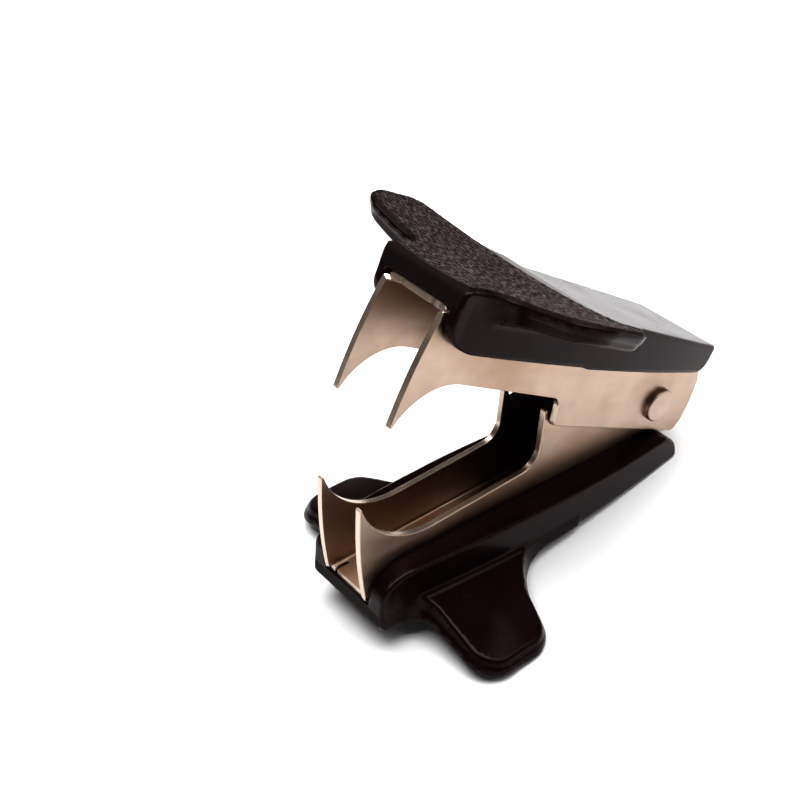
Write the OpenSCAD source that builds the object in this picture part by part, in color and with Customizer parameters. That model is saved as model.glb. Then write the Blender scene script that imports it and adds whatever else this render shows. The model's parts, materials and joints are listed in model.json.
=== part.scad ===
// Jaw-type staple remover. Two sheet-steel jaws with fangs turn on one pivot
// pin, a torsion spring round the pin holds them open, and a moulded grip with
// a winged finger pad covers each jaw.
//
// Each jaw and its grip are drawn in a jaw frame: the pivot is the origin, +X
// runs forward to the fangs and +Z points outward, away from the mouth. The
// modules upper_place() and lower_place() then set them into the part's frame,
// lying on a table at Z = 0.

/* [Stance] */
// Angle between the two jaws when the spring holds them open
open_angle = 24.2; // [20:0.1:26]
// Slope of the lower jaw when the remover lies on a table
lie_angle = 7.81; // [6:0.01:9]
// Height of the pivot above the table
pivot_height = 11.26; // [10:0.01:13]
// Distance of the pivot behind the origin
pivot_back = 21.61; // [18:0.01:26]

/* [Steel jaws] */
// Thickness of the sheet steel
sheet = 0.9; // [0.7:0.05:1]
// Width of the outer jaw over its side plates
outer_width = 11.2; // [10.9:0.1:11.4]
// Gap between a side plate of the outer jaw and one of the inner jaw
plate_gap = 0.3; // [0.2:0.05:0.4]
// Inside radius of the bends between web and side plates
bend_radius = 0.5; // [0.3:0.1:0.8]
// Outward height of the web over the pivot at its front edge
web_front_height = 11.1; // [10.6:0.1:11.4]
// Outward height of the web over the pivot at its rear edge
web_rear_height = 8.7; // [8.4:0.1:9]
// Distance of the web's front edge in front of the pivot
web_front = 52.7; // [50:0.1:53]
// Distance of the web's rear edge behind the pivot
web_rear = 5.4; // [5:0.1:6]

/* [Pivot] */
// Radius of the pivot pin
pin_radius = 2.6; // [2.2:0.1:2.7]
// Length of pin that stands out on each side
pin_overhang = 0.95; // [0.8:0.05:1.4]
// Radial running clearance of the pin in the inner jaw
pin_clearance = 0.05; // [0.02:0.01:0.08]

/* [Spring] */
// Diameter of the spring wire
wire = 0.9; // [0.7:0.05:0.95]
// Mean radius of the spring's coil
coil_radius = 3.35; // [3.2:0.05:3.5]
// Whole turns of the coil between its two legs
coil_turns = 5; // [3:1:5]
// Distance from the pivot at which each leg presses on its web
leg_reach = 13; // [10:0.5:16]

/* [Grips] */
// Half width of a grip's stem at its rear end
stem_rear_half = 7.6; // [7.4:0.1:8]
// Half width of a grip's stem at its neck
stem_neck_half = 8.7; // [8.2:0.1:9]
// Gap between a grip's side walls and the jaw in its channel
grip_fit = 0.15; // [0.1:0.05:0.3]
// Thickness of a grip's roof at its rear edge
roof_rear = 1.9; // [1.5:0.1:2.5]
// Slope of the stem's flat outer face
stem_slope = 4.6; // [4:0.1:5.2]
// Half span over the wing tips
wing_half = 21.5; // [20:0.1:22]
// Rise of the finger pad from its middle to its wing tips
wing_rise = 2.5; // [2:0.05:3]
// Thickness of a wing at its tip
wing_thickness = 2.5; // [2:0.1:3]
// Outward height of the finger pad at its middle
pad_height = 13.95; // [13.5:0.05:14.4]
// Outward height of the free edge of the upper grip's side walls
upper_wall_edge = 6; // [5.5:0.1:7]
// Outward height of the free edge of the lower grip's side walls
lower_wall_edge = 5.4; // [5.2:0.1:5.8]

/* [Hidden] */

steel = [0.78, 0.70, 0.64];
plastic = [0.13, 0.105, 0.11];

web_slope = atan((web_front_height - web_rear_height) / (web_front + web_rear));
inner_width = outer_width - 2 * sheet - 2 * plate_gap;
far = 80;                   // longer than anything that it cuts

// Peg that snaps each grip into its web
peg_x = 1;
peg_radius = 2.1;
peg_hole_radius = 2.2;
peg_head = 0.5;

// Fang slits and bend reliefs at the web's front edge
slit_width = 0.5;
slit_depth = 2.4;
slit_side = 2.8;
relief = 0.8;
relief_side = 0.7;
relief_drop = 0.9;

// Radius of the fangs' blunt tips, and how far their front edges bow forward
tip_radius = 0.12;
fang_bow = 0.45;

// Finger pad outline
pad_front = 46.4;
pad_rear = 29.9;
pad_rear_radius = 50;
pad_corner = 3.8;
pad_step = 0.4;             // how far the grained pad stands over the stem
pad_rim = 0.4;              // width of the plain rim round the pad
tab_front = 51.3;
tab_half = 7.4;
tab_fillet = 3.2;
neck_fillet = 7;
wing_root_thickness = 3.6;
grip_front = 52.6;
nose_height = 12.6;         // where the tab's front face meets its sloping top edge

function on_arc(centre, r, from, to, steps) =
    [for (i = [0:steps]) let (a = from + (to - from) * i / steps) centre + r * [cos(a), sin(a)]];

// Outward height of the web's outer face at x
function web_height(x) = web_rear_height + (x + web_rear) * tan(web_slope);

// Outward height of the stem's flat outer face at x
function stem_height(x) = web_height(-web_rear) + roof_rear + (x + web_rear) * tan(stem_slope);

// Side outline of the plates behind the pivot, shared by both jaws:
// up the bulging rear edge from the lower corner to the web
plate_tail = concat(
    on_arc([-7.1, -3.3], 1.2, 270, 190, 6),
    on_arc([8.3, 0], 17.2, 189, 165, 6),
    [[-web_rear, web_rear_height]]);

// Outline of a fang, from the web's front corner: a bowed front edge, a narrow
// tip, and a hollow trailing edge, which is an arc round centre from the angle
// lean at the tip to the angle end
function fang(corner, centre, r, lean, end) =
    let (tip = centre + (r + tip_radius) * [cos(lean), sin(lean)])
    concat(
        [for (i = [0:11]) corner + i / 12 * (tip - corner) + [fang_bow * sin(15 * i), 0]],
        on_arc(tip, tip_radius, 0, lean - 180, 6),
        on_arc(centre, r, lean, end, 14));

// Outer jaw: fang, straight arm, hooked step
outer_outline = concat(
    plate_tail,
    fang([web_front, web_front_height], [45.08, -7.65], 8.97, 17.9, 94),
    on_arc([25, -1.75], 1.8, 90, 165, 8),
    on_arc([21.9, -3.3], 0.8, -15, -90, 6));

// Inner jaw: longer fang, arm set further out, round corner up to a hooked lug
inner_outline = concat(
    plate_tail,
    fang([web_front + 0.2, web_front_height], [42.27, -9.45], 12.3, 18.5, 93),
    on_arc([25.9, -1.2], 3, 93, 180, 8),
    on_arc([22.5, -7.2], 0.3, 0, -150, 6),
    on_arc([20.6, -5.8], 1.25, 0, 90, 8),
    [[4, -5.1]]);

module upper_place() {
    translate([-pivot_back, 0, pivot_height])
        rotate([0, -lie_angle - open_angle, 0])
            children();
}

module lower_place() {
    translate([-pivot_back, 0, pivot_height])
        rotate([0, -lie_angle, 0])
            rotate([180, 0, 0])
                children();
}

// Extrudes an XZ outline to both sides of the middle plane
module across(width) {
    rotate([90, 0, 0])
        linear_extrude(height = width, center = true)
            children();
}

// Extrudes a YZ section along X
module along(length) {
    rotate([90, 0, 90])
        linear_extrude(height = length)
            children();
}

// ---- steel ----

// Section of a bent channel, its web's outer face at y = 0
module channel_section(width) {
    half = width / 2;
    outside = bend_radius + sheet;
    corner = half - outside;
    polygon(concat(
        [[-half, -far]],
        on_arc([-corner, -outside], outside, 180, 90, 6),
        on_arc([corner, -outside], outside, 90, 0, 6),
        [[half, -far], [half - sheet, -far]],
        on_arc([corner, -outside], bend_radius, 0, 90, 4),
        on_arc([-corner, -outside], bend_radius, 90, 180, 4),
        [[sheet - half, -far]]));
}

module jaw(width, outline, bore_radius) {
    difference() {
        intersection() {
            across(width + 2) polygon(outline);
            translate([-web_rear, 0, web_rear_height])
                rotate([0, -web_slope, 0])
                    translate([-far / 2, 0, 0])
                        along(2 * far) channel_section(width);
        }
        rotate([90, 0, 0])
            cylinder(h = 2 * width, r = bore_radius, center = true, $fn = 64);
        translate([peg_x, 0, 0])
            cylinder(h = far, r = peg_hole_radius, $fn = 48);
        for (side = [-1, 1]) {
            translate([web_front - slit_depth, side * slit_side - slit_width / 2, 8])
                cube([far, slit_width, 5]);
            translate([web_front - relief, side * width / 2 - relief_side, web_front_height - relief_drop])
                cube([far, 2 * relief_side, 5]);
        }
    }
}

module outer_jaw() {
    color(steel)
        upper_place()
            jaw(outer_width, outer_outline, pin_radius);
}

module inner_jaw() {
    color(steel)
        lower_place()
            jaw(inner_width, inner_outline, pin_radius + pin_clearance);
}

module pivot_pin() {
    half = outer_width / 2 + pin_overhang;
    chamfer = 0.35;
    color(steel)
        upper_place()
            rotate([90, 0, 0])
                rotate_extrude($fn = 64)
                    polygon([
                        [0, -half], [pin_radius - chamfer, -half], [pin_radius, chamfer - half],
                        [pin_radius, half - chamfer], [pin_radius - chamfer, half], [0, half]]);
}

// ---- spring ----

// The spring is wound along Y, round the pin. Each leg leaves the coil on a
// tangent, in a plane across the pin, and runs forward under its web.
leg_height = web_height(leg_reach) - sheet - wire / 2 - 0.06;
leg_length = sqrt(pow(leg_reach, 2) + pow(leg_height, 2) - pow(coil_radius, 2));
leg_turn = atan2(leg_height, leg_reach) + acos(coil_radius / norm([leg_reach, leg_height]));
upper_leg_angle = lie_angle + open_angle + leg_turn;
lower_leg_angle = 360 + lie_angle - leg_turn;
coil_sweep = 360 * coil_turns + lower_leg_angle - upper_leg_angle;
coil_half = inner_width / 2 - sheet - wire / 2 - 0.15;
wire_sides = 8;
coil_steps = coil_turns * 28;

function coil_point(t) = let (a = upper_leg_angle + coil_sweep * t)
    [coil_radius * cos(a), coil_half * (1 - 2 * t), coil_radius * sin(a)];
function coil_way(t) = let (a = upper_leg_angle + coil_sweep * t)
    [-sin(a), -2 * coil_half / (coil_sweep * PI / 180 * coil_radius), cos(a)];

function leg_way(angle) = [-sin(angle), 0, cos(angle)];

spring_points = concat(
    [for (s = [1, 0.1]) coil_point(0) - s * leg_length * leg_way(upper_leg_angle)],
    [for (i = [0:coil_steps]) coil_point(i / coil_steps)],
    [for (s = [0.1, 1]) coil_point(1) + s * leg_length * leg_way(lower_leg_angle)]);
spring_ways = concat(
    [for (s = [1, 0.1]) leg_way(upper_leg_angle)],
    [for (i = [0:coil_steps]) coil_way(i / coil_steps)],
    [for (s = [0.1, 1]) leg_way(lower_leg_angle)]);

function unit(v) = v / norm(v);
// Ring of points round the wire's centre line, turned from the pin's direction
function wire_ring(centre, way) =
    let (side = unit(cross(way, [0, 1, 0])), up = unit(cross(side, way)))
    [for (k = [0:wire_sides - 1]) let (a = 360 * k / wire_sides)
        centre + wire / 2 * (cos(a) * side + sin(a) * up)];

module swept_wire(centres, ways) {
    rings = len(centres);
    last = (rings - 1) * wire_sides;
    polyhedron(
        points = [for (i = [0:rings - 1]) each wire_ring(centres[i], ways[i])],
        faces = concat(
            [[for (k = [0:wire_sides - 1]) k]],
            [for (i = [0:rings - 2], k = [0:wire_sides - 1])
                let (a = i * wire_sides, b = a + wire_sides, n = (k + 1) % wire_sides)
                [a + k, b + k, b + n, a + n]],
            [[for (k = [wire_sides - 1:-1:0]) last + k]]));
}

module torsion_spring() {
    color(steel)
        translate([-pivot_back, 0, pivot_height])
            swept_wire(spring_points, spring_ways);
}

// ---- grips ----

// Plan of the stem, from its rear end to its front
module stem_plan() {
    polygon([
        [-20, -stem_rear_half], [-20, stem_rear_half], [-5, stem_rear_half],
        [22, stem_neck_half], [48, tab_half + 0.1], [far, tab_half + 0.1],
        [far, -tab_half - 0.1], [48, -tab_half - 0.1], [22, -stem_neck_half],
        [-5, -stem_rear_half]]);
}

// Plan of both wings: straight front, rear edge on one wide arc
module wing_plan(rim) {
    offset(r = pad_corner - rim, $fn = 48)
        offset(delta = -pad_corner)
            intersection() {
                translate([pad_rear, -wing_half])
                    square([pad_front - pad_rear, 2 * wing_half]);
                translate([pad_rear + pad_rear_radius, 0])
                    circle(r = pad_rear_radius, $fn = 180);
            }
}

// Plan of the grained pad: the wings and the front tab, less its rim
module pad_plan(rim) {
    offset(r = -tab_fillet, $fn = 48)
        offset(delta = tab_fillet)
            union() {
                wing_plan(rim);
                translate([pad_front - 9, rim - tab_half])
                    square([tab_front - pad_front + 9 - rim / 2, 2 * (tab_half - rim)]);
            }
}

// Plan of the wings' plain underlayer, blended into the stem's neck
module neck_plan() {
    offset(r = -neck_fillet, $fn = 64)
        offset(delta = neck_fillet)
            union() {
                wing_plan(0);
                translate([pad_rear - neck_fillet - 1, -stem_neck_half])
                    square([neck_fillet + 5, 2 * stem_neck_half]);
            }
    pad_plan(0);
}

// Block that is hollowed along its outer side, so that it rises to the wing
// tips. Its height is taken at the middle, and it rises by rise at the tips.
module saddle(height, rise) {
    radius = (pow(wing_half, 2) + pow(rise, 2)) / (2 * rise);
    difference() {
        translate([-far / 2, -far / 2, 0]) cube([2 * far, far, height + rise + 0.5]);
        translate([-far, 0, height + radius])
            rotate([0, 90, 0])
                cylinder(h = 4 * far, r = radius, $fn = 256);
    }
}

// The space below the wings, which follows their hollow at a growing depth
module below_wings() {
    low = pad_height - wing_root_thickness;
    saddle(low, wing_rise + wing_root_thickness - wing_thickness);
}

// Side outline of a grip's stem. Its walls' free edge starts at the height
// rear_edge, passes the points of edge, and ends at the height of their last.
module stem_side(rear_end, rear_round, rear_edge, edge, front_round) {
    front_edge = edge[len(edge) - 1][1];
    polygon(concat(
        [[rear_end, stem_height(rear_end)]],
        on_arc([rear_end + rear_round, rear_edge + rear_round], rear_round, 180, 270, 8),
        edge,
        on_arc([grip_front - front_round, front_edge + front_round], front_round, 270, 360, 8),
        [[grip_front, nose_height], [tab_front, pad_height - pad_step]],
        [[pad_rear, stem_height(pad_rear)]]));
}

// A grip for a jaw of the given width. Its children are its stem's side outline.
module grip(jaw_width) {
    difference() {
        union() {
            intersection() {
                across(4 * stem_neck_half) children();
                linear_extrude(height = far) stem_plan();
            }
            difference() {
                intersection() {
                    linear_extrude(height = far) neck_plan();
                    saddle(pad_height - pad_step, wing_rise);
                    across(far) polygon([
                        [-far, 0], [grip_front, 0], [grip_front, nose_height],
                        [tab_front, pad_height], [tab_front, far],
                        [pad_rear + 9, far], [pad_rear + 5, pad_height + wing_rise],
                        [pad_rear - 4, stem_height(pad_rear - 4)], [-far, stem_height(-far)]]);
                }
                below_wings();
            }
            intersection() {
                linear_extrude(height = far) pad_plan(pad_rim);
                saddle(pad_height, wing_rise);
                translate([0, -far / 2, pad_height - 1.2]) cube(far);
            }
        }
        // channel that takes the steel, roofed by the web's outer face
        translate([-web_rear, -jaw_width / 2 - grip_fit, web_rear_height + 0.02])
            rotate([0, -web_slope, 0])
                translate([-far / 2, 0, -far])
                    cube([2 * far, jaw_width + 2 * grip_fit, far]);
    }
    translate([peg_x, 0, web_height(peg_x) - sheet - peg_head])
        cylinder(h = sheet + peg_head + 0.6, r = peg_radius, $fn = 48);
}

module upper_grip() {
    color(plastic)
        upper_place()
            grip(outer_width)
                stem_side(-5.6, 3, upper_wall_edge, [[24.4, 5.75], [26.4, upper_wall_edge]], 5);
}

module lower_grip() {
    color(plastic)
        lower_place()
            grip(inner_width)
                stem_side(-4.9, 4.6, 5.75, [[9.4, 5.85], [29, lower_wall_edge]], 5);
}

outer_jaw();
inner_jaw();
pivot_pin();
torsion_spring();
upper_grip();
lower_grip();
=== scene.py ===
import json
import math

import bmesh
import bpy
import numpy as np
from mathutils import Matrix, Quaternion, Vector
from mathutils.geometry import delaunay_2d_cdt


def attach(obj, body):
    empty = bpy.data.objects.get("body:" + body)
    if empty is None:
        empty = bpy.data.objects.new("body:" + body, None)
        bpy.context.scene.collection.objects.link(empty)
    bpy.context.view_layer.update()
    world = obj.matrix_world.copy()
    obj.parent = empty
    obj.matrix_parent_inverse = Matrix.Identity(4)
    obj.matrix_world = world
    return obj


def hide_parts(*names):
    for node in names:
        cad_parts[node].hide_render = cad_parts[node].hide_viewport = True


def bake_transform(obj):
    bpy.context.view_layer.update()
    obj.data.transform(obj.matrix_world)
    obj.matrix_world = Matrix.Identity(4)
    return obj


# A jaw-type staple remover: two bent steel jaws on a sprung pivot, each with a
# moulded grip. Every jaw and its grip are made in a jaw frame, in millimetres:
# the pivot is the origin, +X runs forward to the fangs and +Z points outward,
# away from the mouth. place_upper and place_lower set them into the row frame.

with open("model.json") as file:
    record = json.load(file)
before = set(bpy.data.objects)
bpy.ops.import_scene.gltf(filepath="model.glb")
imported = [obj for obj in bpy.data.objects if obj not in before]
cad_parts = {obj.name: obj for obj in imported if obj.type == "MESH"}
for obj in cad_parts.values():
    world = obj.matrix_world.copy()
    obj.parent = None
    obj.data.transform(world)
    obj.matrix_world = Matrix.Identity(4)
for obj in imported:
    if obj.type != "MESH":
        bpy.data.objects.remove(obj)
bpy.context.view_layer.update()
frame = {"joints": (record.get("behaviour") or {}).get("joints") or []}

MM = 0.001
pivot = Vector(frame["joints"][0]["pos_m"])
LIE_ANGLE = math.radians(7.81)
OPEN_ANGLE = math.radians(24.2)
place_upper = Matrix.Translation(pivot) @ Matrix.Rotation(-LIE_ANGLE - OPEN_ANGLE, 4, "Y")
place_lower = (Matrix.Translation(pivot) @ Matrix.Rotation(-LIE_ANGLE, 4, "Y")
               @ Matrix.Rotation(math.pi, 4, "X"))

# Steel jaws
SHEET = 0.9
OUTER_WIDTH = 11.2
PLATE_GAP = 0.3
INNER_WIDTH = OUTER_WIDTH - 2 * SHEET - 2 * PLATE_GAP
BEND_RADIUS = 0.5
WEB_REAR = 5.4
WEB_REAR_HEIGHT = 8.7
WEB_FRONT = 52.7
WEB_FRONT_HEIGHT = 11.1
WEB_SLOPE = math.atan2(WEB_FRONT_HEIGHT - WEB_REAR_HEIGHT, WEB_FRONT + WEB_REAR)
WEB_SET_BACK = 0.5  # of the web's front edge, between the fangs
FANG_BOW = 0.45
NOTCH_LENGTH = 1.1  # bend relief between web and fang
NOTCH_DEPTH = 0.9
NOTCH_SIDE = 0.6
SLIT_SIDE = 2.8
SLIT_HALF = 0.25
SLIT_DEPTH = 2.4
EDGE_ROLL = 0.14  # rounding of the sheet's outer edge, and of the burr side
EDGE_BURR = 0.07
PIN_RADIUS = 2.6
PIN_OVERHANG = 0.95
PIN_CLEARANCE = 0.05
PEG_X = 1.0
PEG_RADIUS = 2.1
PEG_HOLE_RADIUS = 2.2
PEG_HEAD = 0.5
WIRE = 0.9
COIL_RADIUS = 3.35
COIL_TURNS = 5
LEG_REACH = 13.0

# Grips
GRIP_FIT = 0.15
ROOF_REAR = 1.9
STEM_SLOPE = math.radians(4.6)
NECK_START = 24.9
NECK_RISE = 0.4  # slope of the ramp from the stem up to the pad
WING_HALF = 21.5
PAD_HEIGHT = 13.95
PAD_STEP = 0.4
PAD_RIM = 0.3
PAD_FRONT = 46.4
PAD_REAR_RADIUS = 50.0
PAD_REAR_CENTRE = 79.9
PAD_CORNER = 4.6
PAD_REAR_CORNER = 2.6
NOSE_GRAIN_LOW = 11.4  # where the grain ends on the tab's nose
TAB_HALF = 7.4
TAB_REAR = 38
TAB_FILLET = 3.2
NECK_FILLET = 7
STEM_HALF = 8.75
GRIP_FRONT = 52.6
WING_THICKNESS = 3.7


# ---- mesh helpers ----

def on_arc(centre, radius, start, end, steps):
    """Points on an arc in the plane, angles in degrees."""
    angles = np.radians(np.linspace(start, end, steps + 1))
    return [(centre[0] + radius * math.cos(a), centre[1] + radius * math.sin(a)) for a in angles]


def make_piece(name, points, faces, place, normals=None, marks=None):
    """A mesh object from points in millimetres. The mesh is set into the row frame by place,
    and keeps each point's own place, in metres, for the materials."""
    points = np.asarray(points, float) * MM
    turn, shift = np.array(place.to_3x3()), np.array(place.translation)
    mesh = bpy.data.meshes.new(name)
    mesh.from_pydata((points @ turn.T + shift).tolist(), [], faces)
    own = mesh.attributes.new("own_place", "FLOAT_VECTOR", "POINT")
    own.data.foreach_set("vector", points.astype(np.float32).ravel())
    mesh.polygons.foreach_set("use_smooth", np.ones(len(mesh.polygons), bool))
    for mark, values in (marks or {}).items():
        attribute = mesh.attributes.new(mark, "FLOAT", "POINT")
        attribute.data.foreach_set("value", np.asarray(values, np.float32))
    mesh.update()
    if normals is not None:
        mesh.normals_split_custom_set_from_vertices((np.asarray(normals, float) @ turn.T).tolist())
    piece = bpy.data.objects.new(name, mesh)
    bpy.context.collection.objects.link(piece)
    return piece


def polygon_distance(px, py, outline):
    """Signed distance to a closed outline in the plane, negative inside."""
    px, py = np.broadcast_arrays(px, py)
    nearest = np.full(px.shape, 1e9)
    inside = np.zeros(px.shape, bool)
    for (ax, ay), (bx, by) in zip(outline, outline[1:] + outline[:1]):
        ex, ey = bx - ax, by - ay
        wx, wy = px - ax, py - ay
        t = np.clip((wx * ex + wy * ey) / max(ex * ex + ey * ey, 1e-12), 0, 1)
        nearest = np.minimum(nearest, (wx - t * ex) ** 2 + (wy - t * ey) ** 2)
        crosses = (ay > py) != (by > py)
        inside ^= crosses & (wx < ex * wy / (ey if abs(ey) > 1e-12 else 1e-12))
    return np.where(inside, -1, 1) * np.sqrt(nearest)


def round_max(a, b, radius):
    """Intersection of two distance fields, its edge rounded."""
    return np.minimum(-radius, np.maximum(a, b)) + np.hypot(
        np.maximum(a + radius, 0), np.maximum(b + radius, 0))


def round_min(a, b, radius):
    """Union of two distance fields, its inner corner filled with a fillet."""
    return np.maximum(radius, np.minimum(a, b)) - np.hypot(
        np.maximum(radius - a, 0), np.maximum(radius - b, 0))


def ramp(value, start, end):
    t = np.clip((value - start) / (end - start), 0, 1)
    return t * t * (3 - 2 * t)


# ---- bent sheet ----

def web_height(x):
    return WEB_REAR_HEIGHT + (x + WEB_REAR) * math.tan(WEB_SLOPE)


def fang(centre, radius, lean, end):
    """A narrow tip in front of a hollow trailing edge."""
    tip = 0.2
    reach = radius + tip
    turn = math.radians(lean)
    middle = (centre[0] + reach * math.cos(turn), centre[1] + reach * math.sin(turn))
    return on_arc(middle, tip, 0, lean - 180, 10) + on_arc(centre, radius, lean, end, 40)[1:]


TAIL = (on_arc((-7.1, -3.3), 1.2, 270, 190, 12) + on_arc((8.3, 0), 17.2, 189, 165, 24)
        + [(-WEB_REAR, WEB_REAR_HEIGHT)])
OUTER_PLATE = (fang((45.08, -7.65), 8.97, 17.9, 94) + on_arc((25, -1.75), 1.8, 90, 165, 16)
               + on_arc((21.9, -3.3), 0.8, -15, -90, 12))
INNER_PLATE = (fang((42.27, -9.45), 12.3, 18.5, 93) + on_arc((25.9, -1.2), 3, 93, 180, 14)
               + on_arc((22.5, -7.2), 0.3, 0, -150, 8) + on_arc((20.6, -5.8), 1.25, 0, 90, 12)
               + [(4, -5.1)])


def to_sheet(point):
    """Jaw-frame (x, z) to distance along the web from its rear edge, and depth below it."""
    dx, dz = point[0] + WEB_REAR, point[1] - WEB_REAR_HEIGHT
    c, s = math.cos(WEB_SLOPE), math.sin(WEB_SLOPE)
    return dx * c + dz * s, dx * s - dz * c


class BentSheet:
    """Folds a flat pattern into a channel. A flat point is (along, girth): the
    distance along the web, and the distance round the section from its middle."""

    def __init__(self, width):
        self.half = width / 2
        self.outside = BEND_RADIUS + SHEET
        self.middle = BEND_RADIUS + SHEET / 2
        self.corner = self.half - self.outside
        self.bend = self.middle * math.pi / 2

    def girth(self, depth):
        """Girth at which the sheet's middle surface has this depth."""
        if depth >= self.outside:
            return self.corner + self.bend + depth - self.outside
        turn = math.acos(max(-1, min(1, (self.outside - depth) / self.middle)))
        return self.corner + self.middle * turn

    def fold(self, flat, layer):
        """Points, outward normals and girth directions at the depth layer inside the sheet."""
        along, girth = flat[:, 0], flat[:, 1]
        side = np.where(girth < 0, -1.0, 1.0)
        g = np.abs(girth)
        turn = np.clip((g - self.corner) / self.middle, 0, math.pi / 2)
        past = np.maximum(g - self.corner - self.bend, 0)
        reach = self.outside - layer
        y = side * (np.minimum(g, self.corner) + reach * np.sin(turn))
        depth = self.outside - reach * np.cos(turn) + past
        zero = np.zeros_like(g)
        out = np.stack([zero, side * np.sin(turn), -np.cos(turn)], 1)
        way = np.stack([zero, np.cos(turn), side * np.sin(turn)], 1)
        return self.tilt(np.stack([along, y, depth], 1), True), self.tilt(out), self.tilt(way)

    @staticmethod
    def tilt(v, place=False):
        c, s = math.cos(WEB_SLOPE), math.sin(WEB_SLOPE)
        turned = np.stack([v[:, 0] * c + v[:, 2] * s, v[:, 1], v[:, 0] * s - v[:, 2] * c], 1)
        return turned + np.array([-WEB_REAR, 0, WEB_REAR_HEIGHT]) if place else turned


def flat_pattern(sheet, plate):
    """Half of the flat pattern, from the middle of the web's rear edge to that of its front."""
    tail = [to_sheet(p) for p in TAIL]
    front = to_sheet((WEB_FRONT, WEB_FRONT_HEIGHT))
    tip = to_sheet(plate[0])
    rear_depths, rear_along = [d for _, d in tail][::-1], [a for a, _ in tail][::-1]
    bends = [sheet.outside - sheet.middle * math.cos(t) for t in np.linspace(0, math.pi / 2, 9)]

    def front_along(depth):
        share = depth / tip[1]
        return front[0] + (tip[0] - front[0]) * share + FANG_BOW * math.sin(math.pi * share)

    half = [(float(np.interp(bends[0], rear_depths, rear_along)), 0.0)]
    half += [(float(np.interp(d, rear_depths, rear_along)), sheet.girth(d)) for d in bends]
    half += [(a, sheet.girth(d)) for a, d in reversed(tail) if d > sheet.outside + 0.05]
    half += [(a, sheet.girth(d)) for a, d in reversed([to_sheet(p) for p in plate])]
    # front edge up to the relief notch at the bend, then the web with its slit
    notch = front[0] - NOTCH_LENGTH
    notch_side = sheet.half - NOTCH_SIDE
    web_edge = front[0] - WEB_SET_BACK
    slit_end = front[0] - SLIT_DEPTH
    half += [(front_along(d), sheet.girth(d)) for d in np.linspace(tip[1] - 0.6, 2.2, 18)]
    half += [(front_along(d), sheet.girth(d)) for d in bends[::-1] if d > NOTCH_DEPTH]
    half += [(front_along(NOTCH_DEPTH), sheet.girth(NOTCH_DEPTH))]
    half += [(notch, sheet.girth(NOTCH_DEPTH)), (notch, notch_side), (web_edge, notch_side)]
    half += [(web_edge, sheet.girth(d)) for d in bends[::-1]
             if SLIT_SIDE + SLIT_HALF + 0.05 < sheet.girth(d) < notch_side]
    half += [(web_edge, SLIT_SIDE + SLIT_HALF)]
    half += [(slit_end - x, SLIT_SIDE + y) for x, y in on_arc((0, 0), SLIT_HALF, 90, -90, 8)]
    half += [(web_edge, SLIT_SIDE - SLIT_HALF), (web_edge, 0.0)]
    return half


def inset(loop, distance):
    """Moves each point of a closed loop inwards, the solid lying on its left."""
    loop = np.asarray(loop)
    before, after = np.roll(loop, 1, 0), np.roll(loop, -1, 0)
    d1, d2 = loop - before, after - loop
    d1 /= np.linalg.norm(d1, axis=1, keepdims=True)
    d2 /= np.linalg.norm(d2, axis=1, keepdims=True)
    n1 = np.stack([-d1[:, 1], d1[:, 0]], 1)
    n2 = np.stack([-d2[:, 1], d2[:, 0]], 1)
    middle = n1 + n2
    middle /= np.linalg.norm(middle, axis=1, keepdims=True)
    stretch = np.clip((middle * n1).sum(1), 0.6, 1)[:, None]
    return loop + middle * distance / stretch, -middle


def even_loop(points, longest):
    """Adds points on long stretches of a closed loop and drops doubled ones."""
    out = []
    for a, b in zip(points, points[1:] + points[:1]):
        length = math.dist(a, b)
        if length < 1e-4:
            continue
        steps = max(1, math.ceil(length / longest))
        out += [(a[0] + (b[0] - a[0]) * i / steps, a[1] + (b[1] - a[1]) * i / steps)
                for i in range(steps)]
    return out


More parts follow.
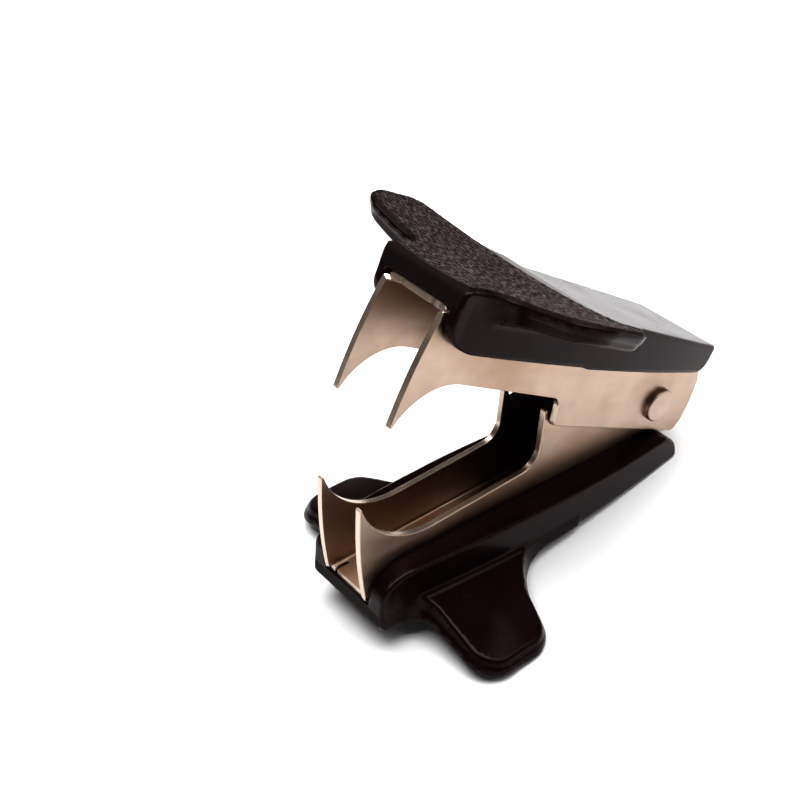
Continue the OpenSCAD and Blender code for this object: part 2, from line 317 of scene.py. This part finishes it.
def bent_jaw(name, width, plate, bore_radius, place):
    """A jaw as one bent stamping: rolled outer edges, a small burr side, bores and slits."""
    sheet = BentSheet(width)
    half = flat_pattern(sheet, plate)
    mirrored = [(a, -g) for a, g in reversed(half) if g > 1e-6]
    outline = even_loop(half + mirrored, 1.5)
    area = sum(a[0] * b[1] - b[0] * a[1] for a, b in zip(outline, outline[1:] + outline[:1]))
    if area < 0:
        outline.reverse()
    along, depth = to_sheet((0, 0))
    peg_along = to_sheet((PEG_X, web_height(PEG_X)))[0]
    bore = sheet.girth(depth)
    holes = [on_arc((along, side * bore), bore_radius, 360, 0, 48)[:-1] for side in (-1, 1)]
    holes.append(on_arc((peg_along, 0), PEG_HOLE_RADIUS, 360, 0, 48)[:-1])
    loops = [np.array(loop) for loop in [outline] + holes]

    # each ring: inset, depth in the sheet, and the normal's shares across it and out of its edge
    quarter = np.linspace(0, math.pi / 2, 4)
    rings = [(EDGE_ROLL * (1 - math.sin(t)), EDGE_ROLL * (1 - math.cos(t)), math.cos(t), math.sin(t))
             for t in quarter]
    rings += [(EDGE_BURR * (1 - math.sin(t)), SHEET - EDGE_BURR * (1 - math.cos(t)),
               -math.cos(t), math.sin(t)) for t in quarter[::-1]]
    ahead = np.array([[math.cos(WEB_SLOPE), 0, math.sin(WEB_SLOPE)]])

    points, normals, cut, faces = [], [], [], []
    ring_starts = []
    for loop in loops:
        starts = []
        for back, layer, face_share, edge_share in rings:
            moved, outward = inset(loop, back)
            place_3d, out, way = sheet.fold(moved, layer)
            edge = outward[:, :1] * ahead + outward[:, 1:] * way
            starts.append(sum(len(p) for p in points))
            points.append(place_3d)
            normals.append(face_share * out + edge_share * edge)
            cut.append(np.full(len(loop), edge_share))
        count = len(loop)
        for a, b in zip(starts, starts[1:]):
            faces += [(a + i, b + i, b + (i + 1) % count, a + (i + 1) % count) for i in range(count)]
        ring_starts.append(starts)

    # both faces of the sheet, with points along the bends so that they fold round
    bends = np.linspace(sheet.corner, sheet.corner + sheet.bend, 9)
    outline_front = max(a for a, _ in outline)
    inner = np.array([(a, side * g) for a in np.arange(0.8, outline_front - 1.2, 1.1)
                      for side in (-1, 1) for g in bends])
    for which, layer, sign in ((0, 0.0, 1), (-1, SHEET, -1)):
        flat, edges, ids = [], [], []
        for loop, starts in zip(loops, ring_starts):
            moved, _ = inset(loop, rings[which][0])
            first = len(flat)
            flat += [tuple(p) for p in moved]
            ids += [starts[which] + i for i in range(len(loop))]
            edges += [(first + i, first + (i + 1) % len(loop)) for i in range(len(loop))]
        rim = flat[:len(loops[0])]
        extra = inner[inside_pattern(inner, rim, holes, 0.35)]
        place_3d, out, _ = sheet.fold(extra, layer)
        base = sum(len(p) for p in points)
        points.append(place_3d)
        normals.append(sign * out)
        cut.append(np.zeros(len(extra)))
        ids += [base + i for i in range(len(extra))]
        flat += [tuple(p) for p in extra]
        made = delaunay_2d_cdt([Vector(p) for p in flat], edges, [], 0, 1e-7, True)
        verts, _, tris, sources, *_ = made
        origin = [ids[o[0]] if o else None for o in sources]
        verts, tris = np.array([tuple(v) for v in verts]), np.array(tris)
        solid = inside_pattern(verts[tris].mean(1), rim, holes, 0.0)
        for tri in tris[solid]:
            corner = [origin[i] for i in tri]
            if None not in corner:
                faces.append(tuple(corner if sign > 0 else corner[::-1]))
    points = np.concatenate(points)
    normals = np.concatenate(normals)
    normals /= np.linalg.norm(normals, axis=1, keepdims=True)
    return make_piece(name, points, faces, place, normals, {"cut": np.concatenate(cut)})


def inside_pattern(points, rim, holes, margin):
    """Whether flat points lie inside the rim and outside the holes, by at least the margin."""
    inside = polygon_distance(points[:, 0], points[:, 1], rim) < -margin
    for hole in holes:
        inside &= polygon_distance(points[:, 0], points[:, 1], hole) > margin
    return inside


# ---- moulded grips ----

def noise_sheet(width, height, pitch_x, pitch_y, spread, seed, pixel=0.05):
    """Random ridges of about one pitch, longer one way, on a grid that repeats."""
    nx, ny = int(width / pixel), int(height / pixel)
    rough = np.fft.rfft2(np.random.default_rng(seed).standard_normal((nx, ny)))
    fx = np.fft.fftfreq(nx, pixel)[:, None] * pitch_x
    fy = np.fft.rfftfreq(ny, pixel)[None, :] * pitch_y
    smooth = np.fft.irfft2(rough * np.exp(-((np.hypot(fx, fy) - 1) / spread) ** 2), (nx, ny))
    return smooth / smooth.std()


def sample_sheet(sheet, x, y, pixel=0.05):
    """Reads the noise grid between its points."""
    nx, ny = sheet.shape
    u, v = np.broadcast_arrays(x / pixel, y / pixel)
    i, j = np.floor(u).astype(int), np.floor(v).astype(int)
    s, t = u - i, v - j
    i, j, i2, j2 = i % nx, j % ny, (i + 1) % nx, (j + 1) % ny
    return ((sheet[i, j] * (1 - t) + sheet[i, j2] * t) * (1 - s)
            + (sheet[i2, j] * (1 - t) + sheet[i2, j2] * t) * s)


GRAIN_DEPTH = 0.10
grain_sheet = noise_sheet(30, 48, 0.78, 1.45, 0.42, 5)


def grain(x, y):
    """Height of the pebbled grain: flat-topped ridges between narrow wavy valleys."""
    return ramp(sample_sheet(grain_sheet, x, y), -1.1, 0.5)


def stem_height(x):
    return WEB_REAR_HEIGHT + ROOF_REAR + (x + WEB_REAR) * math.tan(STEM_SLOPE)


def stem_half(x):
    return np.maximum(STEM_HALF - 1.22 * ((x - 22) / 27) ** 2, TAB_HALF)


def wing_plan(x, y):
    """Plan of both wings: straight front and tips, hollow rear edges on one wide arc."""
    straight = round_max(x - PAD_FRONT, y - WING_HALF, PAD_CORNER)
    return round_max(straight, np.hypot(x - PAD_REAR_CENTRE, y) - PAD_REAR_RADIUS, PAD_REAR_CORNER)


def pad_plan(x, y):
    """The grained pad: both wings and the tab in front of them."""
    tab = np.maximum(y - TAB_HALF, TAB_REAR - x)
    return round_min(wing_plan(x, y), tab, TAB_FILLET)


def pad_mask(x, y):
    return ramp(-pad_plan(x, y), PAD_RIM, PAD_RIM + 0.35)


def grain_mask(x, y):
    return ramp(-pad_plan(x, y), PAD_RIM, PAD_RIM + 0.7) * ramp(x, GRIP_FRONT - 0.7, GRIP_FRONT - 1.5)


def soft_max(a, b, blend):
    h = np.clip(0.5 + 0.5 * (a - b) / blend, 0, 1)
    return b + (a - b) * h + blend * h * (1 - h)


def soft_min(a, b, blend):
    return -soft_max(-a, -b, blend)


def outer_face(x, y, grained):
    """Height of the grip's outer face: flat stem, ramp at the neck, hollow saddle, raised pad."""
    out = (y / WING_HALF) ** 2
    saddle = PAD_HEIGHT - PAD_STEP + out * (2.6 + 0.04 * (x - 37))
    neck = stem_height(NECK_START) + (x - NECK_START) * NECK_RISE
    face = soft_min(saddle, soft_max(stem_height(x), neck, 0.5), 0.6)
    face = face + PAD_STEP * pad_mask(x, y)
    if grained:
        face = face + GRAIN_DEPTH * grain_mask(x, y) * (grain(x, y) - 0.6)
    return face


def upper_side():
    """Side outline of the upper grip, open outwards: its rear leans to a sharp outer corner."""
    edge = on_arc((-3.1, 8.5), 2.4, 183, 268, 16) + [(24.2, 5.75), (24.9, 5.8), (26.2, 6.0)]
    return [(-6.3, 16.5)] + edge + front_side(6.0)


def lower_side():
    """Side outline of the lower grip, open outwards: its rear end is blunt and rounded."""
    edge = on_arc((0.1, 10.7), 5.0, 178, 268, 24) + [(9.4, 5.85), (29, 5.45)]
    return [(-4.9, 20)] + edge + front_side(5.4)


def front_side(edge):
    """Front of a grip's side outline: a wide and a tighter round below, a narrow roll above."""
    roll = 1.4
    return (on_arc((46.8, edge + 8), 8, 270, 305, 12) + on_arc((49.9, edge + 3.58), 2.6, 305, 358, 12)
            + on_arc((GRIP_FRONT - roll, PAD_HEIGHT + 0.15 - roll), roll, 2, 74, 10)
            + [(46, 16), (40, 24)])


def grip_distance(x, y, z, side, channel_half, grained):
    """Distance field of a whole grip: stem and wings, cut by the channel, with its peg."""
    y = np.abs(y)
    stem = round_max(polygon_distance(x, z, side), y - stem_half(x), 0.5)
    flare = np.maximum(y - stem_half(x), x - 36)
    tab = np.maximum(y - TAB_HALF, TAB_REAR - x)
    plan = round_min(round_min(wing_plan(x, y), flare, NECK_FILLET), tab, TAB_FILLET)
    # the wings' edges draw in below the outer face
    below = np.maximum(outer_face(x, y, False) - z, 0)
    plan = np.maximum(plan + 0.35 * np.minimum(below, 3), 18 - x)
    out = (y / WING_HALF) ** 2
    underside = PAD_HEIGHT - WING_THICKNESS + 3.85 * out + 0.4 * ramp(x, 38, 46) * ramp(out, 0.1, 0.4)
    wing = round_max(np.maximum(plan, x - GRIP_FRONT + 1), underside - z, 0.4)
    body = round_min(stem, wing, 1.1)
    body = round_max(body, (z - outer_face(x, y, grained)) * 0.97, 0.4)
    roof = web_height(x) + 0.02
    channel = np.maximum(y - channel_half, z - roof)
    body = round_max(body, -channel, 0.15)
    low = web_height(PEG_X) - SHEET - PEG_HEAD
    peg = round_max(np.maximum(np.hypot(x - PEG_X, y) - PEG_RADIUS, z - 11), low - z, 0.3)
    return np.minimum(body, peg)


def slope_of(field, points, reach):
    """Slope of the field at points, measured over the reach to either side."""
    steps = np.eye(3) * reach
    return np.stack([field(*(points + s).T) - field(*(points - s).T) for s in steps], 1) / (2 * reach)


def settle(field, points, times, reach=0.02, furthest=0.2):
    """Moves points onto the zero level of the field."""
    for _ in range(times):
        slope = slope_of(field, points, reach)
        length = np.maximum((slope ** 2).sum(1), 0.05)
        move = -field(*points.T)[:, None] * slope / length[:, None]
        size = np.linalg.norm(move, axis=1, keepdims=True)
        points = points + move * np.minimum(1, furthest / np.maximum(size, 1e-9))
    return points


def surface_net(field, low, high, step):
    """Quads round the zero level of a field sampled on a grid. Each cell's point is set where the
    tangent planes of the surface in the cell meet best, so that narrow edges stay straight."""
    x, y, z = [np.arange(a, b + step, step) for a, b in zip(low, high)]
    value = field(x[:, None, None], y[None, :, None], z[None, None, :])
    inside = value < 0
    cells = tuple(n - 1 for n in value.shape)
    tally = np.zeros((13, math.prod(cells)))
    quads = []
    for axis in range(3):
        onward = np.eye(3, dtype=int)[axis]
        u, v = (axis + 1) % 3, (axis + 2) % 3
        near, far = [slice(1, -1)] * 3, [slice(1, -1)] * 3
        near[axis], far[axis] = slice(0, -1), slice(1, None)
        edge = np.argwhere(inside[tuple(near)] != inside[tuple(far)])
        edge[:, u] += 1
        edge[:, v] += 1
        va, vb = value[tuple(edge.T)], value[tuple((edge + onward).T)]
        spot = (edge + (va / (va - vb))[:, None] * onward) * step + np.array(low)
        normal = slope_of(field, spot, 0.04)
        normal /= np.maximum(np.linalg.norm(normal, axis=1, keepdims=True), 1e-9)
        level = (normal * spot).sum(1)
        products = [normal[:, i] * normal[:, j] for i in range(3) for j in range(i, 3)]
        sums = products + [normal[:, i] * level for i in range(3)]
        sums += list(spot.T) + [np.ones(len(spot))]
        quad = []
        for du, dv in ((-1, -1), (0, -1), (0, 0), (-1, 0)):
            cell = edge.copy()
            cell[:, u] += du
            cell[:, v] += dv
            flat = np.ravel_multi_index(tuple(cell.T), cells)
            for row, weights in enumerate(sums):
                tally[row] += np.bincount(flat, weights, tally.shape[1])
            quad.append(flat)
        quad = np.stack(quad, 1)
        quads.append(np.where((va < 0)[:, None], quad, quad[:, ::-1]))
    used = np.nonzero(tally[12])[0]
    xx, xy, xz, yy, yz, zz, bx, by, bz, sx, sy, sz, count = tally[:, used]
    centre = np.stack([sx, sy, sz], 1) / count[:, None]
    square = np.stack([xx, xy, xz, xy, yy, yz, xz, yz, zz], 1).reshape(-1, 3, 3)
    rest = np.stack([bx, by, bz], 1) - np.einsum("nij,nj->ni", square, centre)
    move = np.linalg.solve(square + 0.05 * np.eye(3), rest[:, :, None])[:, :, 0]
    size = np.linalg.norm(move, axis=1, keepdims=True)
    points = centre + move * np.minimum(1, 0.7 * step / np.maximum(size, 1e-9))
    ids = np.full(tally.shape[1], -1)
    ids[used] = np.arange(len(used))
    return points, ids[np.concatenate(quads)]


def pad_depth(x, y, z):
    """Depth inside the grained part of a grip's skin: the pad's outer face and the tab's nose."""
    face = np.maximum(pad_plan(x, y) + 0.25, outer_face(x, y, False) - 0.3 - z)
    nose = np.maximum(np.maximum(46 - x, y - TAB_HALF + 0.45), NOSE_GRAIN_LOW - z)
    return -np.minimum(face, nose)


def moulded_grip(name, place, side, jaw_width, low_z, detail):
    """A grip as one moulding, its pad with a finer mesh that carries the grain."""
    step = 0.42 if detail else 0.7
    channel_half = jaw_width / 2 + GRIP_FIT
    plain = lambda x, y, z: grip_distance(x, y, z, side, channel_half, False)
    grained = lambda x, y, z: grip_distance(x, y, z, side, channel_half, True)
    box_low, box_high = (-7.5, -22.26, low_z), (53.6, 22.26, 18.1)
    points, quads = surface_net(plain, box_low, box_high, step)
    points = settle(plain, points, times=2)
    # finer faces on the pad
    mesh = bpy.data.meshes.new("rough")
    mesh.from_pydata(points.tolist(), [], quads.tolist())
    work = bmesh.new()
    work.from_mesh(mesh)
    bpy.data.meshes.remove(mesh)
    x, y, z = np.array([f.calc_center_median()[:] for f in work.faces]).T
    upward = np.array([f.normal.z for f in work.faces])
    fine = (upward > 0.6) & (pad_plan(x, np.abs(y)) < 0.2) & (z > 12.5)
    work.faces.ensure_lookup_table()
    edges = {e for i in np.nonzero(fine)[0] for e in work.faces[i].edges}
    bmesh.ops.subdivide_edges(work, edges=list(edges), cuts=2 if detail else 1, use_grid_fill=True)
    points = np.array([v.co[:] for v in work.verts])
    faces = [[v.index for v in f.verts] for f in work.faces]
    work.free()
    points = settle(grained, points, times=3)
    normals = slope_of(grained, points, 0.03)
    normals /= np.maximum(np.linalg.norm(normals, axis=1, keepdims=True), 1e-6)
    x, y, z = points[:, 0], np.abs(points[:, 1]), points[:, 2]
    on_pad = grain_mask(x, y) * (normals[:, 2] > 0.5) * (z > 12.5)
    # the grain's ridges on the pad's top face, which the material paints paler: part wear, part
    # painted highlight
    ridge = on_pad * grain(x, y)
    grained_skin = np.clip(pad_depth(x, y, z), -1, 1)
    return make_piece(name, points, faces, place, normals, {"ridge": ridge, "pad": grained_skin})


# ---- pin and spring ----

def lathed_pin(name, place):
    """The pivot pin: rounded shoulders and slightly dished ends with a turning mark."""
    half = OUTER_WIDTH / 2 + PIN_OVERHANG
    shoulder = 0.32
    end = [(0.0, -0.10), (0.35, -0.09), (0.5, -0.04), (1.6, -0.03), (2.0, 0.0)]
    profile = [(r, half + h) for r, h in end]
    profile += on_arc((PIN_RADIUS - shoulder, half - shoulder), shoulder, 90, 0, 6)
    profile += [(PIN_RADIUS, half - 1.0), (PIN_RADIUS, 0.0)]
    profile += [(r, -y) for r, y in profile[-2::-1]]
    around = 72
    points, faces, rows = [], [], []
    for radius, y in profile:
        if radius < 1e-6:
            rows.append([len(points)] * around)
            points.append((0, y, 0))
            continue
        rows.append(list(range(len(points), len(points) + around)))
        points += [(radius * math.cos(a), y, radius * math.sin(a))
                   for a in np.linspace(0, 2 * math.pi, around, endpoint=False)]
    for top, low in zip(rows, rows[1:]):
        for i in range(around):
            j = (i + 1) % around
            faces.append(tuple(dict.fromkeys([top[i], top[j], low[j], low[i]])))
    piece = make_piece(name, points, faces, place)
    bevel_normals(piece)
    return piece


def bevel_normals(piece):
    """Flat faces stay flat and only the rounded edges shade round."""
    weigh = piece.modifiers.new("weigh", "WEIGHTED_NORMAL")
    weigh.mode = "FACE_AREA"
    weigh.weight = 60


def torsion_spring(name):
    """Close coil round the pin with a straight leg under each web, in the row frame. Also
    returns half the coil's length, in metres."""
    coil_half = INNER_WIDTH / 2 - SHEET - WIRE / 2 - 0.15
    rise = web_height(LEG_REACH) - SHEET - WIRE / 2 - 0.06
    distance = math.hypot(LEG_REACH, rise)
    leg = math.sqrt(distance ** 2 - COIL_RADIUS ** 2)
    turn = math.atan2(rise, LEG_REACH) + math.acos(COIL_RADIUS / distance)
    start = LIE_ANGLE + OPEN_ANGLE + turn
    sweep = 2 * math.pi * COIL_TURNS + 2 * math.pi + LIE_ANGLE - turn - start
    centre, ways = [], []
    for t in np.linspace(0, 1, COIL_TURNS * 40 + 1):
        a = start + sweep * t
        centre.append((COIL_RADIUS * math.cos(a), coil_half * (1 - 2 * t), COIL_RADIUS * math.sin(a)))
        ways.append((-math.sin(a), 0.0, math.cos(a)))
    centre, ways = np.array(centre), np.array(ways)
    shares = np.linspace(1, 0.06, 8)[:, None]
    centre = np.concatenate([centre[:1] - shares * leg * ways[:1], centre,
                             centre[-1:] + shares[::-1] * leg * ways[-1:]])
    way = np.gradient(centre, axis=0)
    way /= np.linalg.norm(way, axis=1, keepdims=True)
    across = np.cross(way, [0, 1, 0])
    across /= np.linalg.norm(across, axis=1, keepdims=True)
    up = np.cross(across, way)
    sides = 16
    points, faces = [], []
    radii = np.full(len(centre), WIRE / 2)
    radii[[0, -1]] *= 0.8
    for c, u, v, r in zip(centre, across, up, radii):
        points += [tuple(c + r * (math.cos(a) * u + math.sin(a) * v))
                   for a in np.linspace(0, 2 * math.pi, sides, endpoint=False)]
    for ring in range(len(centre) - 1):
        for k in range(sides):
            a, n = ring * sides, (k + 1) % sides
            faces.append((a + k, a + n, a + sides + n, a + sides + k))
    faces.append(tuple(range(sides))[::-1])
    faces.append(tuple((len(centre) - 1) * sides + k for k in range(sides)))
    piece = make_piece(name, np.array(points), faces, Matrix.Translation(pivot))
    return piece, coil_half * MM


# ---- materials ----

NICKEL = (0.47, 0.365, 0.305, 1)
PIN_NICKEL = (0.47, 0.37, 0.31, 1)
CLOUDY_FILM = (0.42, 0.31, 0.23, 1)
BROWN_STAIN = (0.36, 0.25, 0.18, 1)
CUT_EDGE = (0.60, 0.50, 0.42, 1)
WIRE_DARK = (0.42, 0.40, 0.38, 1)
WIRE_LIGHT = (0.52, 0.49, 0.45, 1)
PLASTIC_DARK = (0.0100, 0.0034, 0.0040, 1)
PLASTIC_LIGHT = (0.0140, 0.0056, 0.0064, 1)
DUST = (0.10, 0.085, 0.08, 1)
PAD_DARK = (0.0064, 0.0034, 0.0038, 1)
PAD_LIGHT = (0.0110, 0.0064, 0.0068, 1)
# pale colours of the grain's ridges: part wear, part painted highlight and glints on the ridge tops
RIDGE_WEAR_AND_HIGHLIGHT = (0.030, 0.019, 0.018, 1)
RIDGE_WEAR_AND_GLINT = (0.16, 0.12, 0.115, 1)


class Nodes:
    """Short calls for building a material."""

    def __init__(self, name):
        self.material = bpy.data.materials.new(name)
        self.material.use_nodes = True
        self.tree = self.material.node_tree
        self.shader = self.tree.nodes["Principled BSDF"]

    def add(self, kind, values=None, **settings):
        node = self.tree.nodes.new(kind)
        for key, value in settings.items():
            setattr(node, key, value)
        for key, value in (values or {}).items():
            self.feed(node.inputs[key], value)
        return node

    def feed(self, socket, value):
        if isinstance(value, bpy.types.NodeSocket):
            self.tree.links.new(value, socket)
        else:
            socket.default_value = value

    def place(self, stretch=(1, 1, 1)):
        where = self.add("ShaderNodeAttribute", attribute_name="own_place").outputs["Vector"]
        return self.add("ShaderNodeMapping", {"Vector": where, "Scale": stretch}).outputs["Vector"]

    def noise(self, scale, detail=2.0, stretch=(1, 1, 1), rough=0.5):
        return self.add("ShaderNodeTexNoise", {
            "Vector": self.place(stretch), "Scale": scale, "Detail": detail,
            "Roughness": rough}).outputs["Fac"]

    def range(self, value, start, end, low=0.0, high=1.0):
        return self.add("ShaderNodeMapRange", {
            "Value": value, "From Min": start, "From Max": end,
            "To Min": low, "To Max": high}).outputs["Result"]

    def math(self, operation, a, b=0.0):
        return self.add("ShaderNodeMath", {0: a, 1: b}, operation=operation).outputs[0]

    def mix(self, share, a, b):
        node = self.add("ShaderNodeMix", data_type="RGBA")
        self.feed(node.inputs[0], share)
        self.feed(node.inputs[6], a)
        self.feed(node.inputs[7], b)
        return node.outputs[2]

    def mark(self, name):
        return self.add("ShaderNodeAttribute", attribute_name=name).outputs["Fac"]

    def bump(self, height, distance, strength=1.0, under=None):
        values = {"Height": height, "Distance": distance, "Strength": strength}
        if under is not None:
            values["Normal"] = under
        return self.add("ShaderNodeBump", values).outputs["Normal"]

    def finish(self, **values):
        for key, value in values.items():
            self.feed(self.shader.inputs[key.replace("_", " ")], value)
        return self.material


def plated_steel(name, tint):
    """Warm nickel plate on rolled sheet: faint rolling lines, brown handling stains in patches,
    a cloudy film and bright cut edges."""
    n = Nodes(name)
    cloud = n.range(n.noise(160, 3), 0.3, 0.7)
    film = n.range(n.noise(420, 2), 0.35, 0.7)
    lines = n.noise(900, 3, (0.06, 1, 1), 0.6)
    stain = n.range(n.noise(62, 4, (0.7, 1, 1), 0.6), 0.43, 0.62)
    cut = n.mark("cut")
    colour = n.mix(cloud, tint, tuple(c * 0.9 for c in tint[:3]) + (1,))
    colour = n.mix(n.range(film, 0, 1, 0, 0.25), colour, CLOUDY_FILM)
    colour = n.mix(n.range(stain, 0, 1, 0, 0.8), colour, BROWN_STAIN)
    colour = n.mix(cut, colour, CUT_EDGE)
    rough = n.range(lines, 0.3, 0.7, 0.29, 0.37)
    rough = n.math("ADD", rough, n.range(cloud, 0, 1, -0.02, 0.05))
    rough = n.math("ADD", rough, n.range(stain, 0, 1, 0, 0.07))
    rough = n.math("SUBTRACT", rough, n.math("MULTIPLY", cut, 0.06))
    waves = n.bump(n.noise(130, 1), 0.00012, 0.5)
    fine = n.bump(lines, 0.000012, 0.6, waves)
    return n.finish(Base_Color=colour, Metallic=1.0, Roughness=rough, Normal=fine)


def spring_wire(name):
    """Drawn spring wire: grey, with fine lines along it."""
    n = Nodes(name)
    lines = n.noise(1500, 2, (0.2, 1, 0.2))
    colour = n.mix(n.range(n.noise(300), 0.3, 0.7), WIRE_DARK, WIRE_LIGHT)
    return n.finish(Base_Color=colour, Metallic=1.0, Roughness=n.range(lines, 0.3, 0.7, 0.25, 0.4),
                    Normal=n.bump(lines, 0.00001))


def grip_plastic(name):
    """Dark satin plastic with a fine spark-eroded texture; on the pad it is dull. The grain's ridges
    are worn smoother than the valleys, and painted paler with pale specks: part wear, part painted
    highlight."""
    n = Nodes(name)
    pad = n.range(n.mark("pad"), -0.03, 0.03)
    ridge = n.mark("ridge")
    cloud = n.range(n.noise(120, 3), 0.3, 0.7)
    stem = n.mix(cloud, PLASTIC_DARK, PLASTIC_LIGHT)
    dust = n.range(n.noise(1800, 1), 0.68, 0.8, 0, 0.10)
    stem = n.mix(dust, stem, DUST)
    grained = n.mix(cloud, PAD_DARK, PAD_LIGHT)
    # ridges painted paler and with pale specks: part wear, part painted highlight and glints
    ridge_wear_and_highlight = n.math("MULTIPLY", ridge, n.range(n.noise(260, 2), 0.35, 0.75))
    ridge_speck_and_glint = n.math("MULTIPLY", ridge, n.range(n.noise(2600, 1), 0.48, 0.66))
    grained = n.mix(n.range(ridge_wear_and_highlight, 0, 1, 0, 0.6), grained, RIDGE_WEAR_AND_HIGHLIGHT)
    grained = n.mix(n.range(ridge_speck_and_glint, 0, 1, 0, 0.6), grained, RIDGE_WEAR_AND_GLINT)
    colour = n.mix(pad, stem, grained)
    satin = n.range(cloud, 0, 1, 0.21, 0.27)
    dull = n.math("SUBTRACT", 0.60, n.math("MULTIPLY", ridge_wear_and_highlight, 0.14))
    rough = n.math("ADD", n.math("MULTIPLY", satin, n.math("SUBTRACT", 1.0, pad)),
                   n.math("MULTIPLY", dull, pad))
    texture = n.bump(n.noise(4400, 2), n.range(pad, 0, 1, 0.000012, 0.00003), 0.6)
    waves = n.bump(n.noise(220, 1), 0.00006, 0.4, texture)
    return n.finish(Base_Color=colour, Roughness=rough, Normal=waves, IOR=1.24,
                    Specular_Tint=(1.0, 0.84, 0.84, 1))


def pale_floor(name):
    n = Nodes(name)
    colour = n.mix(n.noise(6, 2), (0.86, 0.86, 0.86, 1), (0.9, 0.9, 0.9, 1))
    return n.finish(Base_Color=colour, Roughness=0.6)


# ---- the remover ----

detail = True
jaw_steel = plated_steel("jaw_steel", NICKEL)
pin_steel = plated_steel("pin_steel", PIN_NICKEL)
plastic = grip_plastic("grip_plastic")


def fit_out(piece, material, body, node):
    """Gives a piece its material and the body it rides on, and hides the CAD node it stands for."""
    piece.data.materials.append(material)
    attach(piece, body)
    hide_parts(node)


fit_out(bent_jaw("outer_jaw_stamping", OUTER_WIDTH, OUTER_PLATE, PIN_RADIUS, place_upper),
        jaw_steel, "upper_jaw", "outer_jaw")
fit_out(bent_jaw("inner_jaw_stamping", INNER_WIDTH, INNER_PLATE, PIN_RADIUS + PIN_CLEARANCE,
                 place_lower),
        jaw_steel, "lower_jaw", "inner_jaw")
fit_out(lathed_pin("pivot_pin_turned", place_upper),
        pin_steel, "upper_jaw", "pivot_pin")
fit_out(moulded_grip("upper_grip_moulding", place_upper, upper_side(), OUTER_WIDTH, 4.9, detail),
        plastic, "upper_jaw", "upper_grip")
fit_out(moulded_grip("lower_grip_moulding", place_lower, lower_side(), INNER_WIDTH, 4.5, detail),
        plastic, "lower_jaw", "lower_grip")

spring, coil_half = torsion_spring("torsion_spring_wound")
spring.data.materials.append(spring_wire("spring_steel"))
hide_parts("torsion_spring")
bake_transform(spring)


# ---- floor, light and camera ----

FLOOR_HALF = 6.0
WARM_POOL = (1.0, 0.84, 0.83)
CAMERA_PLACE = (0.09293, 0.09740, 0.13577)
CAMERA_HEADING = math.radians(-126.516)
CAMERA_DROP = math.radians(40.225)
CAMERA_ROLL = math.radians(-4.44)
CAMERA_LENS = 57.85


def pale_stage():
    mesh = bpy.data.meshes.new("floor")
    corners = [(x * FLOOR_HALF, y * FLOOR_HALF, 0) for x, y in ((-1, -1), (1, -1), (1, 1), (-1, 1))]
    mesh.from_pydata(corners, [], [(0, 1, 2, 3)])
    floor = bpy.data.objects.new("floor", mesh)
    bpy.context.collection.objects.link(floor)
    mesh.materials.append(pale_floor("pale_floor"))


def softbox(name, place, target, width, height, power):
    light = bpy.data.lights.new(name, "AREA")
    light.shape, light.size, light.size_y, light.energy = "RECTANGLE", width, height, power
    box = bpy.data.objects.new(name, light)
    bpy.context.collection.objects.link(box)
    box.location = place
    box.rotation_mode = "QUATERNION"
    box.rotation_quaternion = (Vector(target) - Vector(place)).to_track_quat("-Z", "Y")


def floor_spot(name, place, target, angle, power):
    """Lights a pool of floor behind the object, which the upper stem's flat face mirrors."""
    light = bpy.data.lights.new(name, "SPOT")
    light.energy, light.spot_size, light.spot_blend = power, math.radians(angle), 0.8
    light.shadow_soft_size = 0.05
    light.color = WARM_POOL
    spot = bpy.data.objects.new(name, light)
    bpy.context.collection.objects.link(spot)
    spot.location = place
    spot.rotation_mode = "QUATERNION"
    spot.rotation_quaternion = (Vector(target) - Vector(place)).to_track_quat("-Z", "Y")


def soft_sky(bright, dark):
    """White near the horizon and darker overhead, as in a room with a pale floor."""
    world = bpy.data.worlds.new("sky")
    bpy.context.scene.world = world
    world.use_nodes = True
    tree = world.node_tree
    background = tree.nodes["Background"]
    where = tree.nodes.new("ShaderNodeTexCoord")
    split = tree.nodes.new("ShaderNodeSeparateXYZ")
    rise = tree.nodes.new("ShaderNodeMapRange")
    rise.inputs["From Min"].default_value = 0.1
    rise.inputs["From Max"].default_value = 0.8
    rise.inputs["To Min"].default_value = bright
    rise.inputs["To Max"].default_value = dark
    tree.links.new(where.outputs["Generated"], split.inputs[0])
    tree.links.new(split.outputs["Z"], rise.inputs["Value"])
    tree.links.new(rise.outputs["Result"], background.inputs["Strength"])
    background.inputs["Color"].default_value = (1.0, 0.985, 0.975, 1)


def studio_camera():
    camera = bpy.data.cameras.new("camera")
    camera.lens = CAMERA_LENS
    camera.clip_start, camera.clip_end = 0.01, 20
    shooter = bpy.data.objects.new("camera", camera)
    bpy.context.collection.objects.link(shooter)
    level = math.cos(CAMERA_DROP)
    ahead = Vector((level * math.cos(CAMERA_HEADING), level * math.sin(CAMERA_HEADING),
                    -math.sin(CAMERA_DROP)))
    shooter.location = CAMERA_PLACE
    shooter.rotation_mode = "QUATERNION"
    shooter.rotation_quaternion = ahead.to_track_quat("-Z", "Y") @ Quaternion((0, 0, 1), CAMERA_ROLL)
    bpy.context.scene.camera = shooter


pale_stage()
soft_sky(0.16, 0.04)
softbox("key", (-0.05, -0.10, 1.20), (0, 0, 0), 1.3, 1.2, 24.0)
softbox("side", (-0.50, 0.69, 0.85), (0, 0, 0), 0.6, 0.6, 2.5)
floor_spot("back", (-0.42, -0.34, 0.9), (-0.42, -0.34, 0), 50, 44.0)
studio_camera()
bpy.context.scene.view_settings.view_transform = "Standard"
bpy.context.scene.view_settings.look = "High Contrast"
